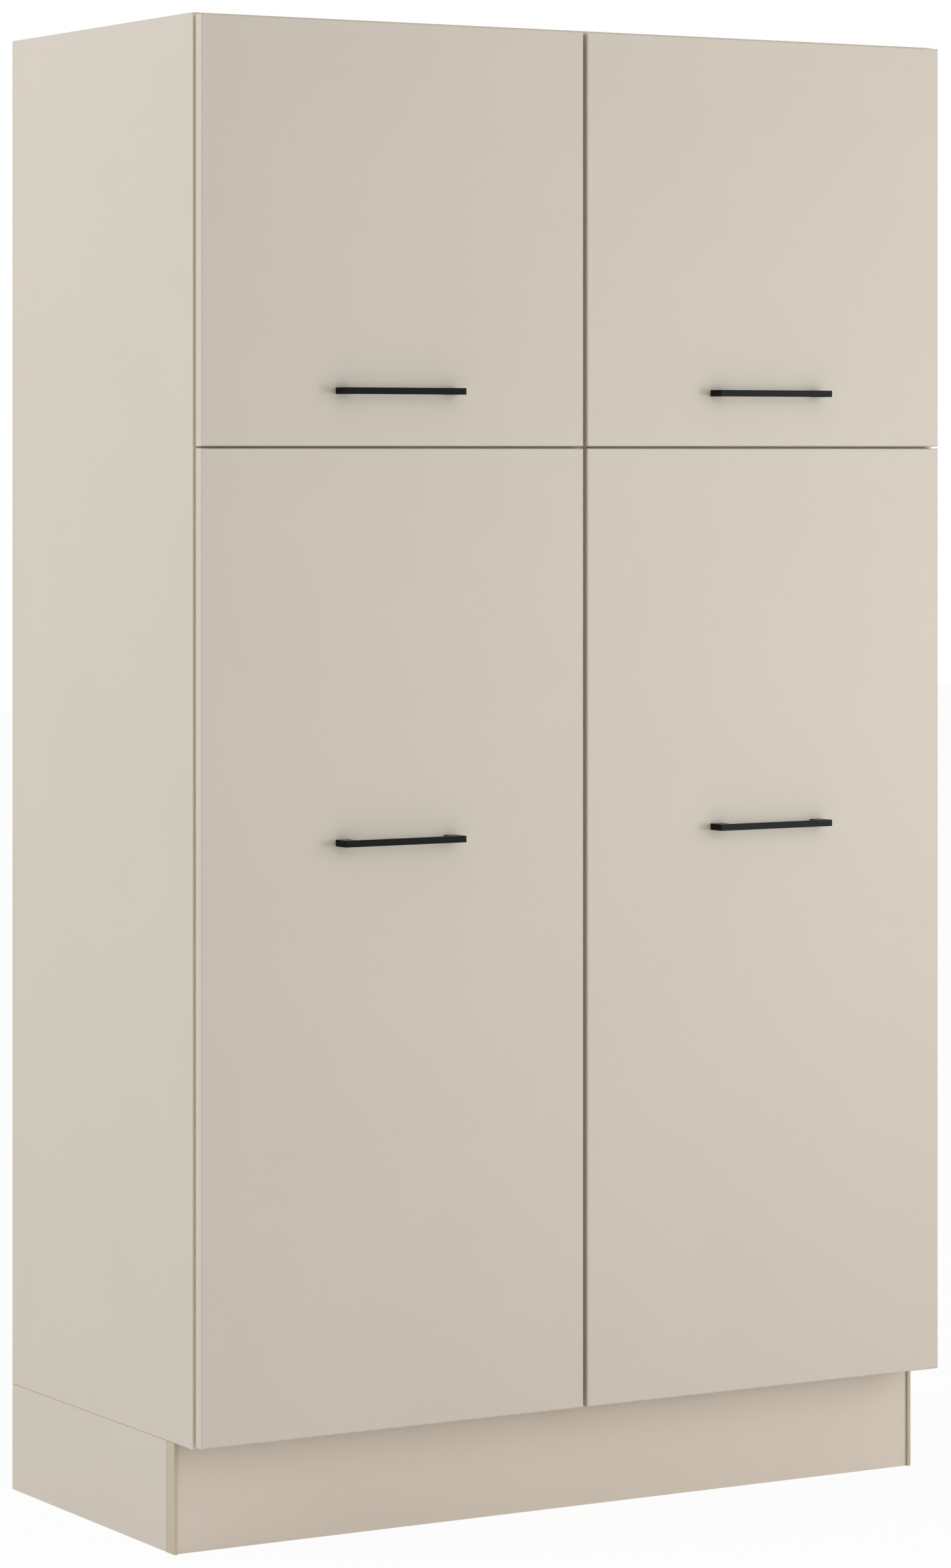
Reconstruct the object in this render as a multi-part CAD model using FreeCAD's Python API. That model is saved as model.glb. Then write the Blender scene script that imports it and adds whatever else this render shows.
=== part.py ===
import FreeCAD
import Part
import math
import os

# Tall utility cabinet: two columns side by side on one recessed plinth, four slab doors.
# Millimetres. +X to the right, +Y to the back, +Z up; the doors face -Y.
# The origin is on the floor, in the middle of the overall width and depth.

# Carcass
COLUMN_WIDTH = 600.0
CARCASS_DEPTH = 560.0
CARCASS_HEIGHT = 1908.0
BOARD = 16.0
BOARD_EDGE = 0.6
BACK_THICKNESS = 3.0
BACK_INSET = 12.0
GROOVE_DEPTH = 7.0
GROOVE_PLAY = 0.2

# Doors
DOOR_THICKNESS = 18.0
DOOR_GAP = 2.0
REVEAL = 3.0
UPPER_DOOR_HEIGHT = 573.0
DOOR_EDGE_RADIUS = 2.0
BUFFER_SIZE = 8.0
BUFFER_FROM_END = 40.0
BUFFER_PLAY = 0.2

# Handles
HANDLE_LENGTH = 188.0
HANDLE_HEIGHT = 9.0
HANDLE_PROJECTION = 27.0
HANDLE_BAR = 6.0
HANDLE_FOOT = 20.0
HANDLE_INNER_RADIUS = 2.5
HANDLE_EDGE = 0.6
UPPER_HANDLE_RISE = 74.5
LOWER_HANDLE_DROP = 530.5

# Concealed cup hinges
HINGE_FROM_END = 100.0
CUP_RADIUS = 17.5
CUP_DEPTH = 13.0
CUP_FLOOR = 0.9
CUP_EDGE = 3.0
CUP_PLAY = 0.1
FLANGE = 1.2
FLANGE_HALF_HEIGHT = 30.0
FLANGE_BEHIND = 5.0
FLANGE_AHEAD = 13.0
FLANGE_CORNER = 4.0
PIN_FROM_EDGE = 7.0
PIN_IN_DOOR = 9.5
PIN_RADIUS = 1.25
PIN_PLAY = 0.05
EYE_RADIUS = 2.2
EYE_PLAY = 0.5
NECK_HALF_WIDTH = 5.0
POCKET_REACH = 20.0
ARM_HALF_WIDTH = 7.5
ARM_SHEET = 2.2
ARM_CHEEK = 1.2
ARM_LENGTH = 72.0
ARM_NECK = 6.0
ARM_SLOPE = 6.0
NECK_FROM_PIN = 12.0
PLATE_BASE = 2.5
PLATE_RAIL = 6.0
PLATE_SETBACK = 16.0
PLATE_LENGTH = 46.0
PLATE_SCREW_LINE = 37.0
RAIL_PLAY = 0.1
WING_REACH = 24.0
WING_HALF_WIDTH = 7.0
WING_CORNER = 4.0

# Shelves
SHELF_PLAY = 1.0
SHELF_SETBACK = 25.0
SHELF_REAR_GAP = 10.0
UPPER_SHELF_HEIGHT = 270.0
LOWER_SHELF_HEIGHTS = (420.0, 840.0)
SUPPORT_SHEET = 2.5
SUPPORT_LEDGE = 9.0
SUPPORT_RISE = 11.0
SUPPORT_WIDTH = 12.0
SUPPORT_FRONT = 69.0
SUPPORT_REAR = 453.0

# Connecting bolts, wall brackets
BOLT_RADIUS = 4.0
BOLT_HEAD_RADIUS = 7.5
BOLT_HEAD = 1.6
BOLT_FROM_FRONT = 64.0
BOLT_PLAY = 0.1
BRACKET_LEG = 32.0
BRACKET_WIDTH = 24.0
BRACKET_SHEET = 2.0
BRACKET_HOLE_DROP = 20.0
WALL_HOLE_RADIUS = 3.0

# Plinth and legs
PLINTH_HEIGHT = 150.0
PLINTH_TOP_GAP = 1.0
PLINTH_BOARD = 16.0
PLINTH_SETBACK = 53.0
CAP_LIP = 3.2
CAP_WALL = 2.0
CAP_OVERLAP = 3.5
CAP_PLAY = 0.2
LEG_FROM_SIDE = 80.0
LEG_FROM_FRONT = 125.0
LEG_FROM_BACK = 80.0
LEG_RADIUS = 15.0
LEG_RIB = 5.0
SOCKET_WALL = 3.0
SOCKET_LENGTH = 26.0
SOCKET_FLANGE = 4.0
SOCKET_FLANGE_HALF = 36.0
LEG_PLAY = 0.2
FOOT_HALF = 28.0
FOOT_CORNER = 12.0
FOOT_HEIGHT = 8.0
CLIP_ARM = 3.0
CLIP_HEIGHT = 14.0
CLIP_PAD = 3.0
CLIP_PAD_HALF_WIDTH = 26.0
CLIP_PAD_HALF_HEIGHT = 20.0

# Planes and positions that follow from the sizes above
OVERALL_DEPTH = CARCASS_DEPTH + DOOR_GAP + DOOR_THICKNESS + HANDLE_PROJECTION
BACK_Y = OVERALL_DEPTH / 2
FRONT_Y = BACK_Y - CARCASS_DEPTH
DOOR_BACK_Y = FRONT_Y - DOOR_GAP
DOOR_FRONT_Y = DOOR_BACK_Y - DOOR_THICKNESS
CARCASS_TOP = PLINTH_HEIGHT + CARCASS_HEIGHT
BACK_PANEL_REAR = BACK_Y - BACK_INSET
BACK_PANEL_FRONT = BACK_PANEL_REAR - BACK_THICKNESS
DOOR_WIDTH = COLUMN_WIDTH - 2 * REVEAL
UPPER_DOOR_TOP = CARCASS_TOP - REVEAL
UPPER_DOOR_BOTTOM = UPPER_DOOR_TOP - UPPER_DOOR_HEIGHT
LOWER_DOOR_TOP = UPPER_DOOR_BOTTOM - REVEAL
LOWER_DOOR_BOTTOM = PLINTH_HEIGHT + REVEAL
LOWER_DOOR_HEIGHT = LOWER_DOOR_TOP - LOWER_DOOR_BOTTOM
UPPER_HANDLE_LEVEL = UPPER_DOOR_BOTTOM + UPPER_HANDLE_RISE
LOWER_HANDLE_LEVEL = LOWER_DOOR_TOP - LOWER_HANDLE_DROP
FIXED_SHELF_TOP = (LOWER_DOOR_TOP + UPPER_DOOR_BOTTOM + BOARD) / 2
BOTTOM_TOP = PLINTH_HEIGHT + BOARD
OUTER_FACE = -COLUMN_WIDTH
OUTER_INSIDE = OUTER_FACE + BOARD
INNER_INSIDE = -BOARD
COLUMN_CENTRE = -COLUMN_WIDTH / 2

# Hinge axis and pieces, in plan, on the left column
DOOR_EDGE_X = OUTER_FACE + REVEAL
PIN_X = DOOR_EDGE_X + PIN_FROM_EDGE
PIN_Y = DOOR_BACK_Y - PIN_IN_DOOR
CUP_X = DOOR_EDGE_X + CUP_EDGE + CUP_RADIUS
POCKET_HALF = NECK_HALF_WIDTH + EYE_PLAY
EYE_CORNER = EYE_RADIUS * (2 - math.sqrt(2))
RAIL_TOP_X = OUTER_INSIDE + PLATE_BASE + PLATE_RAIL
UPPER_HINGES = (UPPER_DOOR_BOTTOM + HINGE_FROM_END, UPPER_DOOR_TOP - HINGE_FROM_END)
LOWER_HINGES = (
    LOWER_DOOR_BOTTOM + HINGE_FROM_END,
    (LOWER_DOOR_BOTTOM + LOWER_DOOR_TOP) / 2,
    LOWER_DOOR_TOP - HINGE_FROM_END,
)

# Plinth planes
PLINTH_TOP = PLINTH_HEIGHT - PLINTH_TOP_GAP
CAP_FRONT_Y = FRONT_Y + PLINTH_SETBACK
FASCIA_FRONT_Y = CAP_FRONT_Y + CAP_LIP + CAP_PLAY
FASCIA_REAR_Y = FASCIA_FRONT_Y + PLINTH_BOARD
CAP_REAR_Y = FASCIA_REAR_Y + CAP_PLAY + CAP_LIP

X_AXIS = FreeCAD.Vector(1, 0, 0)
Y_AXIS = FreeCAD.Vector(0, 1, 0)
Z_AXIS = FreeCAD.Vector(0, 0, 1)


def box(x_range, y_range, z_range):
    """A box from three (low, high) ranges."""
    corner = FreeCAD.Vector(x_range[0], y_range[0], z_range[0])
    return Part.makeBox(x_range[1] - x_range[0], y_range[1] - y_range[0], z_range[1] - z_range[0], corner)


def rod(start, axis, radius, length):
    """A cylinder that starts at a point and runs along an axis."""
    return Part.makeCylinder(radius, length, FreeCAD.Vector(*start), axis)


def column(x, y, half, z_range):
    """A square upright block centred on a point in plan."""
    return box((x - half, x + half), (y - half, y + half), z_range)


def prism(outline, low, high):
    """A closed outline in plan, raised from one height to another."""
    points = [FreeCAD.Vector(x, y, low) for x, y in outline]
    face = Part.Face(Part.makePolygon(points + points[:1]))
    return face.extrude(FreeCAD.Vector(0, 0, high - low))


def mirrored(shape):
    """The same piece on the right column."""
    return shape.mirror(FreeCAD.Vector(0, 0, 0), X_AXIS)


def edges_where(shape, test):
    """Edges whose two ends both pass a test."""
    return [edge for edge in shape.Edges if all(test(vertex.Point) for vertex in edge.Vertexes)]


def runs_along(edge, axis):
    """Whether a straight edge is parallel to an axis."""
    return abs(edge.tangentAt(edge.FirstParameter).dot(axis)) > 0.5


def save(name, solids):
    """Write one node: a single solid, or a group of like solids."""
    shape = solids[0] if len(solids) == 1 else Part.makeCompound(solids)
    shape.exportStep("parts/" + name + ".step")


def save_both(name, solids):
    """Write a node of the left column and its mirror image on the right."""
    save("left_" + name, solids)
    save("right_" + name, [mirrored(solid) for solid in solids])


def shelf_levels():
    """Undersides of the loose shelves, upper one first."""
    lower = [BOTTOM_TOP + height for height in LOWER_SHELF_HEIGHTS]
    return [FIXED_SHELF_TOP + UPPER_SHELF_HEIGHT] + lower


def support_spots():
    """Depth and height of each shelf support on one side panel."""
    rows = (FRONT_Y + SUPPORT_FRONT, FRONT_Y + SUPPORT_REAR)
    return [(y, level) for level in shelf_levels() for y in rows]


def bolt_spots():
    """Depth and height of each bolt that joins the two columns, halfway between boards."""
    upper, low, high = shelf_levels()
    heights = ((low + BOARD + high) / 2, (upper + CARCASS_TOP) / 2)
    return [(FRONT_Y + BOLT_FROM_FRONT, height) for height in heights]


def side_panel(outer_x, inward):
    """An upright side: eased front edge, and a groove for the back on its inside."""
    inside_x = outer_x + inward * BOARD
    panel = box(sorted((outer_x, inside_x)), (FRONT_Y, BACK_Y), (PLINTH_HEIGHT, CARCASS_TOP))
    front_edges = edges_where(panel, lambda point: abs(point.y - FRONT_Y) < BOARD_EDGE)
    panel = panel.makeChamfer(BOARD_EDGE, front_edges)
    groove_x = sorted((inside_x - inward * GROOVE_DEPTH, inside_x + inward * GROOVE_DEPTH))
    groove_y = (BACK_PANEL_FRONT - GROOVE_PLAY, BACK_PANEL_REAR + GROOVE_PLAY)
    return panel.cut(box(groove_x, groove_y, (PLINTH_HEIGHT, CARCASS_TOP)))


def inner_side():
    """The side that stands against the other column, drilled for the connecting bolts."""
    panel = side_panel(0.0, -1)
    for y, z in bolt_spots():
        panel = panel.cut(rod((-BOARD, y, z), X_AXIS, BOLT_RADIUS + BOLT_PLAY, BOARD))
    return panel


def cross_board(low_z):
    """A board between the two sides, flush with their front edges, in front of the back panel."""
    return box((OUTER_INSIDE, INNER_INSIDE), (FRONT_Y, BACK_PANEL_FRONT), (low_z, low_z + BOARD))


def back_panel():
    """The thin back, held in the grooves, with the hole for the wall screw."""
    reach = GROOVE_DEPTH - GROOVE_PLAY
    x_range = (OUTER_INSIDE - reach, INNER_INSIDE + reach)
    panel = box(x_range, (BACK_PANEL_FRONT, BACK_PANEL_REAR), (PLINTH_HEIGHT, CARCASS_TOP))
    return panel.cut(rod(wall_hole_start(), Y_AXIS, WALL_HOLE_RADIUS, 2 * BACK_INSET))


def wall_hole_start():
    """Where the wall screw enters, just in front of the bracket."""
    return (COLUMN_CENTRE, BACK_PANEL_FRONT - 2 * BRACKET_SHEET, CARCASS_TOP - BOARD - BRACKET_HOLE_DROP)


def wall_bracket():
    """A steel angle under the top board, against the back panel."""
    underside = CARCASS_TOP - BOARD
    x_range = (COLUMN_CENTRE - BRACKET_WIDTH / 2, COLUMN_CENTRE + BRACKET_WIDTH / 2)
    y_range = (BACK_PANEL_FRONT - BRACKET_LEG, BACK_PANEL_FRONT)
    angle = box(x_range, y_range, (underside - BRACKET_LEG, underside))
    hollow_y = (BACK_PANEL_FRONT - BRACKET_LEG, BACK_PANEL_FRONT - BRACKET_SHEET)
    angle = angle.cut(box(x_range, hollow_y, (underside - BRACKET_LEG, underside - BRACKET_SHEET)))
    bend_y = BACK_PANEL_FRONT - BRACKET_SHEET
    bend_z = underside - BRACKET_SHEET
    bend = edges_where(angle, lambda point: abs(point.y - bend_y) < 1e-6 and abs(point.z - bend_z) < 1e-6)
    angle = angle.makeFillet(BRACKET_SHEET, bend)
    return angle.cut(rod(wall_hole_start(), Y_AXIS, WALL_HOLE_RADIUS, 3 * BRACKET_SHEET))


def loose_shelf(underside):
    """A shelf that lies on four supports, short of the sides, the front and the back."""
    x_range = (OUTER_INSIDE + SHELF_PLAY, INNER_INSIDE - SHELF_PLAY)
    y_range = (FRONT_Y + SHELF_SETBACK, BACK_PANEL_FRONT - SHELF_REAR_GAP)
    return box(x_range, y_range, (underside, underside + BOARD))


def shelf_support(inside_x, inward, y, top):
    """A folded angle: one leg flat on the side panel, the other under the shelf."""
    y_range = (y - SUPPORT_WIDTH / 2, y + SUPPORT_WIDTH / 2)
    wall_x = sorted((inside_x, inside_x + inward * SUPPORT_SHEET))
    ledge_x = sorted((inside_x, inside_x + inward * SUPPORT_LEDGE))
    ledge = box(ledge_x, y_range, (top - SUPPORT_SHEET, top))
    return ledge.fuse(box(wall_x, y_range, (top - SUPPORT_RISE, top))).removeSplitter()


def column_shelf_supports():
    """All shelf supports of the left column."""
    supports = []
    for y, top in support_spots():
        supports.append(shelf_support(OUTER_INSIDE, 1, y, top))
        supports.append(shelf_support(INNER_INSIDE, -1, y, top))
    return supports


def connecting_bolt(y, z):
    """A barrel bolt through both inner sides, with a flat head on each."""
    barrel = rod((-BOARD, y, z), X_AXIS, BOLT_RADIUS, 2 * BOARD)
    for start_x in (-BOARD - BOLT_HEAD, BOARD):
        barrel = barrel.fuse(rod((start_x, y, z), X_AXIS, BOLT_HEAD_RADIUS, BOLT_HEAD))
    return barrel.removeSplitter()


def door(bottom, height, hinge_levels):
    """A slab with rounded front and back edges, bored for its hinge cups."""
    x_range = (DOOR_EDGE_X, DOOR_EDGE_X + DOOR_WIDTH)
    slab = box(x_range, (DOOR_FRONT_Y, DOOR_BACK_Y), (bottom, bottom + height))
    rims = [edge for edge in slab.Edges if not runs_along(edge, Y_AXIS)]
    slab = slab.makeFillet(DOOR_EDGE_RADIUS, rims)
    for level in hinge_levels:
        bore = rod((CUP_X, DOOR_BACK_Y, level), Y_AXIS * -1, CUP_RADIUS + CUP_PLAY, CUP_DEPTH + CUP_PLAY)
        slab = slab.cut(bore)
    return slab


def handle(level):
    """A bow handle: a flat bar on two square feet, hollowed behind the bar."""
    z_range = (level - HANDLE_HEIGHT / 2, level + HANDLE_HEIGHT / 2)
    half = HANDLE_LENGTH / 2
    tip_y = DOOR_FRONT_Y - HANDLE_PROJECTION
    bow = box((COLUMN_CENTRE - half, COLUMN_CENTRE + half), (tip_y, DOOR_FRONT_Y), z_range)
    reach = half - HANDLE_FOOT
    gap = box((COLUMN_CENTRE - reach, COLUMN_CENTRE + reach), (tip_y + HANDLE_BAR, DOOR_FRONT_Y), z_range)
    gap_y = tip_y + HANDLE_BAR
    corners = [edge for edge in edges_where(gap, lambda point: abs(point.y - gap_y) < 1e-6)
               if edge.Length < HANDLE_HEIGHT + 1e-6]
    bow = bow.cut(gap.makeFillet(HANDLE_INNER_RADIUS, corners))
    eased = edges_where(bow, lambda point: point.y < gap_y - HANDLE_EDGE)
    return bow.makeChamfer(HANDLE_EDGE, eased)


def hinge_cup(level):
    """A round cast cup in the door: screw flange, and a pocket crossed by the pin."""
    shell = rod((CUP_X, DOOR_BACK_Y, level), Y_AXIS * -1, CUP_RADIUS, CUP_DEPTH)
    x_range = (CUP_X - FLANGE_BEHIND, CUP_X + FLANGE_AHEAD)
    z_range = (level - FLANGE_HALF_HEIGHT, level + FLANGE_HALF_HEIGHT)
    flange = box(x_range, (DOOR_BACK_Y, DOOR_BACK_Y + FLANGE), z_range)
    flange = flange.makeChamfer(FLANGE_CORNER, [edge for edge in flange.Edges if runs_along(edge, Y_AXIS)])
    pocket_x = (PIN_X - EYE_RADIUS - EYE_PLAY, PIN_X + POCKET_REACH)
    pocket_y = (DOOR_BACK_Y - CUP_DEPTH + CUP_FLOOR, DOOR_BACK_Y + FLANGE)
    pocket = box(pocket_x, pocket_y, (level - POCKET_HALF, level + POCKET_HALF))
    return shell.fuse(flange).cut(pocket).removeSplitter()


def hinge_pin(level):
    """The steel pin across the cup's pocket, which the door turns on."""
    return rod((PIN_X, PIN_Y, level - POCKET_HALF), Z_AXIS, PIN_RADIUS, 2 * POCKET_HALF)


def hinge_arm(level):
    """A cranked arm: channel on the mounting plate, neck into the cup, eight-sided eye round the pin."""
    web_x = RAIL_TOP_X
    neck_x = PIN_X + NECK_FROM_PIN
    tip_y = PIN_Y - ARM_SHEET
    slope_y = FRONT_Y + ARM_NECK
    web_y = slope_y + ARM_SLOPE
    end_y = FRONT_Y + ARM_LENGTH
    outline = [
        (PIN_X, PIN_Y),
        (PIN_X, tip_y),
        (neck_x + ARM_SHEET, tip_y),
        (neck_x + ARM_SHEET, slope_y),
        (web_x + ARM_SHEET, web_y),
        (web_x + ARM_SHEET, end_y),
        (web_x, end_y),
        (web_x, web_y),
        (neck_x, slope_y),
        (neck_x, PIN_Y),
    ]
    arm = prism(outline, level - NECK_HALF_WIDTH, level + NECK_HALF_WIDTH)
    eye = column(PIN_X, PIN_Y, EYE_RADIUS, (level - NECK_HALF_WIDTH, level + NECK_HALF_WIDTH))
    arm = arm.fuse(eye.makeChamfer(EYE_CORNER, [edge for edge in eye.Edges if runs_along(edge, Z_AXIS)]))
    z_range = (level - ARM_HALF_WIDTH, level + ARM_HALF_WIDTH)
    channel = box((OUTER_INSIDE + PLATE_BASE, web_x + ARM_SHEET), (web_y, end_y), z_range)
    rail_half = ARM_HALF_WIDTH - ARM_CHEEK
    hollow_x = (OUTER_INSIDE + PLATE_BASE, web_x)
    channel = channel.cut(box(hollow_x, (web_y, end_y), (level - rail_half, level + rail_half)))
    arm = arm.fuse(channel)
    hole = rod((PIN_X, PIN_Y, level - NECK_HALF_WIDTH), Z_AXIS, PIN_RADIUS + PIN_PLAY, 2 * NECK_HALF_WIDTH)
    return arm.cut(hole).removeSplitter()


def hinge_plate(level):
    """A mounting plate: winged base on the side panel and a raised rail under the arm."""
    base_x = OUTER_INSIDE
    rail_y = (FRONT_Y + PLATE_SETBACK, FRONT_Y + PLATE_SETBACK + PLATE_LENGTH)
    rail_half = ARM_HALF_WIDTH - ARM_CHEEK - RAIL_PLAY
    rail_z = (level - rail_half, level + rail_half)
    plate = box((base_x, RAIL_TOP_X), rail_y, rail_z)
    screw_y = FRONT_Y + PLATE_SCREW_LINE
    wing = box((base_x, base_x + PLATE_BASE), (screw_y - WING_HALF_WIDTH, screw_y + WING_HALF_WIDTH),
               (level - WING_REACH, level + WING_REACH))
    wing = wing.makeChamfer(WING_CORNER, [edge for edge in wing.Edges if runs_along(edge, X_AXIS)])
    return plate.fuse(wing).removeSplitter()


def door_buffers(bottom, height):
    """Two soft pads on the inner side's front edge, behind the free corners of a door."""
    half = BUFFER_SIZE / 2
    x_range = (-BOARD / 2 - half, -BOARD / 2 + half)
    y_range = (DOOR_BACK_Y + BUFFER_PLAY, FRONT_Y)
    levels = (bottom + BUFFER_FROM_END, bottom + height - BUFFER_FROM_END)
    return [box(x_range, y_range, (z - half, z + half)) for z in levels]


def end_cap():
    """A plastic cap with a U section over the left end of the plinth fascia."""
    depth = CAP_WALL + CAP_OVERLAP
    cap = box((OUTER_FACE, OUTER_FACE + depth), (CAP_FRONT_Y, CAP_REAR_Y), (0, PLINTH_TOP))
    slot_y = (FASCIA_FRONT_Y - CAP_PLAY, FASCIA_REAR_Y + CAP_PLAY)
    return cap.cut(box((OUTER_FACE + CAP_WALL, OUTER_FACE + depth), slot_y, (0, PLINTH_TOP)))


def plinth_fascia():
    """The plinth's front board, held in the two end caps."""
    half = COLUMN_WIDTH - CAP_WALL - CAP_PLAY
    return box((-half, half), (FASCIA_FRONT_Y, FASCIA_REAR_Y), (0, PLINTH_TOP))


def plinth_return():
    """The plinth's board along the left side, from the end cap to the back."""
    y_range = (CAP_REAR_Y + CAP_PLAY, BACK_Y)
    return box((OUTER_FACE, OUTER_FACE + PLINTH_BOARD), y_range, (0, PLINTH_TOP))


def leg_places():
    """Where the four legs of the left column stand."""
    xs = (OUTER_FACE + LEG_FROM_SIDE, -LEG_FROM_SIDE)
    ys = (FRONT_Y + LEG_FROM_FRONT, BACK_Y - LEG_FROM_BACK)
    return [(x, y) for x in xs for y in ys]


def leg_socket(x, y):
    """A square socket with a flange, under the bottom board."""
    bore = LEG_RADIUS + LEG_PLAY
    socket = None
    for half, depth in ((SOCKET_FLANGE_HALF, SOCKET_FLANGE), (bore + SOCKET_WALL, SOCKET_LENGTH)):
        block = column(x, y, half, (PLINTH_HEIGHT - depth, PLINTH_HEIGHT))
        socket = block if socket is None else socket.fuse(block)
    return socket.cut(column(x, y, bore, (PLINTH_HEIGHT - SOCKET_LENGTH, PLINTH_HEIGHT - SOCKET_FLANGE)))


def leg_post(x, y):
    """The leg between its socket and its foot, with a cross-shaped section."""
    z_range = (FOOT_HEIGHT, PLINTH_HEIGHT - SOCKET_FLANGE)
    rib = LEG_RIB / 2
    across = box((x - LEG_RADIUS, x + LEG_RADIUS), (y - rib, y + rib), z_range)
    along = box((x - rib, x + rib), (y - LEG_RADIUS, y + LEG_RADIUS), z_range)
    return across.fuse(along).removeSplitter()


def leg_foot(x, y):
    """The square foot under a leg, with cut corners."""
    foot = column(x, y, FOOT_HALF, (0, FOOT_HEIGHT))
    return foot.makeChamfer(FOOT_CORNER, [edge for edge in foot.Edges if runs_along(edge, Z_AXIS)])


def plinth_clip(leg, distance):
    """A fork that grips a leg, with a pad against a plinth board ahead of it (towards -Y)."""
    x, y = leg
    middle = PLINTH_TOP / 2
    face_y = y - distance
    clip = box((x - CLIP_PAD_HALF_WIDTH, x + CLIP_PAD_HALF_WIDTH), (face_y, face_y + CLIP_PAD),
               (middle - CLIP_PAD_HALF_HEIGHT, middle + CLIP_PAD_HALF_HEIGHT))
    for low_x in (x - LEG_RADIUS - CLIP_ARM, x + LEG_RADIUS):
        clip = clip.fuse(box((low_x, low_x + CLIP_ARM), (face_y, y + LEG_RADIUS),
                             (middle - CLIP_HEIGHT / 2, middle + CLIP_HEIGHT / 2)))
    return clip.removeSplitter()


def left_plinth_clips():
    """Clips on the front legs for the fascia, and on the outer rear leg for the return."""
    legs = leg_places()
    front_legs = [leg for leg in legs if leg[1] < 0]
    clips = [plinth_clip(leg, leg[1] - FASCIA_REAR_Y) for leg in front_legs]
    rear_leg = min(leg for leg in legs if leg[1] > 0)
    side_clip = plinth_clip(rear_leg, rear_leg[0] - OUTER_FACE - PLINTH_BOARD)
    side_clip.rotate(FreeCAD.Vector(rear_leg[0], rear_leg[1], 0), Z_AXIS, -90)
    return clips + [side_clip]


def both_columns(solids):
    """A group on the left column together with its mirror image."""
    return solids + [mirrored(solid) for solid in solids]


def build_carcasses():
    save_both("outer_side", [side_panel(OUTER_FACE, 1)])
    save_both("inner_side", [inner_side()])
    save_both("top_board", [cross_board(CARCASS_TOP - BOARD)])
    save_both("bottom_board", [cross_board(PLINTH_HEIGHT)])
    save_both("fixed_shelf", [cross_board(FIXED_SHELF_TOP - BOARD)])
    save_both("back_panel", [back_panel()])
    levels = shelf_levels()
    save_both("upper_shelf", [loose_shelf(levels[0])])
    save_both("lower_shelves", [loose_shelf(level) for level in levels[1:]])
    save_both("shelf_supports", column_shelf_supports())
    save("connecting_bolts", [connecting_bolt(y, z) for y, z in bolt_spots()])
    save("wall_brackets", both_columns([wall_bracket()]))


def build_doors():
    rows = (
        ("upper", UPPER_DOOR_BOTTOM, UPPER_DOOR_HEIGHT, UPPER_HINGES, UPPER_HANDLE_LEVEL),
        ("lower", LOWER_DOOR_BOTTOM, LOWER_DOOR_HEIGHT, LOWER_HINGES, LOWER_HANDLE_LEVEL),
    )
    buffers = []
    for row, bottom, height, hinges, handle_level in rows:
        save_both(row + "_door", [door(bottom, height, hinges)])
        save_both(row + "_handle", [handle(handle_level)])
        save_both(row + "_hinge_cups", [hinge_cup(level) for level in hinges])
        save_both(row + "_hinge_pins", [hinge_pin(level) for level in hinges])
        buffers += door_buffers(bottom, height)
    save("door_buffers", both_columns(buffers))
    save_both("hinge_arms", [hinge_arm(level) for level in UPPER_HINGES + LOWER_HINGES])
    save_both("hinge_plates", [hinge_plate(level) for level in UPPER_HINGES + LOWER_HINGES])


def build_plinth():
    save("plinth_fascia", [plinth_fascia()])
    save_both("plinth_return", [plinth_return()])
    save_both("plinth_end_cap", [end_cap()])
    save("leg_sockets", both_columns([leg_socket(x, y) for x, y in leg_places()]))
    save("leg_posts", both_columns([leg_post(x, y) for x, y in leg_places()]))
    save("leg_feet", both_columns([leg_foot(x, y) for x, y in leg_places()]))
    save("plinth_clips", both_columns(left_plinth_clips()))


os.makedirs("parts", exist_ok=True)
build_carcasses()
build_doors()
build_plinth()
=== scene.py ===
"""A tall kitchen utility cabinet in beige laminate: finishes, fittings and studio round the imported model."""

import math

import bmesh
import bpy
from mathutils import Matrix, Vector


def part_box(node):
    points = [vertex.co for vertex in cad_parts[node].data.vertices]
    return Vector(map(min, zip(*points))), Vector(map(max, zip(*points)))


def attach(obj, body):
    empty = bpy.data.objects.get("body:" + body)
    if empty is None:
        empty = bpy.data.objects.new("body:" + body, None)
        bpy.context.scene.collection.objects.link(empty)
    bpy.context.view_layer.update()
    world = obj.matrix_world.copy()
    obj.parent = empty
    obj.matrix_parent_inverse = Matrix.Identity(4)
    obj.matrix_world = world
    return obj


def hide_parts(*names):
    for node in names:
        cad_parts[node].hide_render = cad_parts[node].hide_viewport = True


bl_info = {
    "name": "Utility Cabinet",
    "version": (1, 0, 0),
    "blender": (4, 5, 0),
    "location": "View3D > Sidebar > Cabinet",
    "description": "Dresses a tall utility cabinet with boards, handles, hinges and fittings",
    "category": "Object",
}

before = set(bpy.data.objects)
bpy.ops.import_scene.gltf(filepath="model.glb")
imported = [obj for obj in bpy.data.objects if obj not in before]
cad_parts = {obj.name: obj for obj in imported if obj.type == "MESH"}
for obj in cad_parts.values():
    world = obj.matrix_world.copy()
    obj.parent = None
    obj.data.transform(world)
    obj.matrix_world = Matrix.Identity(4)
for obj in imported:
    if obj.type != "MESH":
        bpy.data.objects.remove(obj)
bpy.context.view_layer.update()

MM = 0.001
NEAR = 0.1 * MM
CARCASS = "carcass"
COLUMNS = ("left", "right")
ROWS = ("upper", "lower")
DOORS = tuple(f"{column}_{row}" for column in COLUMNS for row in ROWS)


def linear_rgb(code):
    """Turn an sRGB hex colour into linear red, green and blue."""
    channels = [int(code[place:place + 2], 16) / 255 for place in (1, 3, 5)]
    return tuple(c / 12.92 if c <= 0.04045 else ((c + 0.055) / 1.055) ** 2.4 for c in channels)


def tint(name, description, code):
    """A colour that a user can change, with its default as an sRGB hex value."""
    return bpy.props.FloatVectorProperty(
        name=name, description=description, subtype="COLOR", size=3, min=0, max=1, default=linear_rgb(code))


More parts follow.
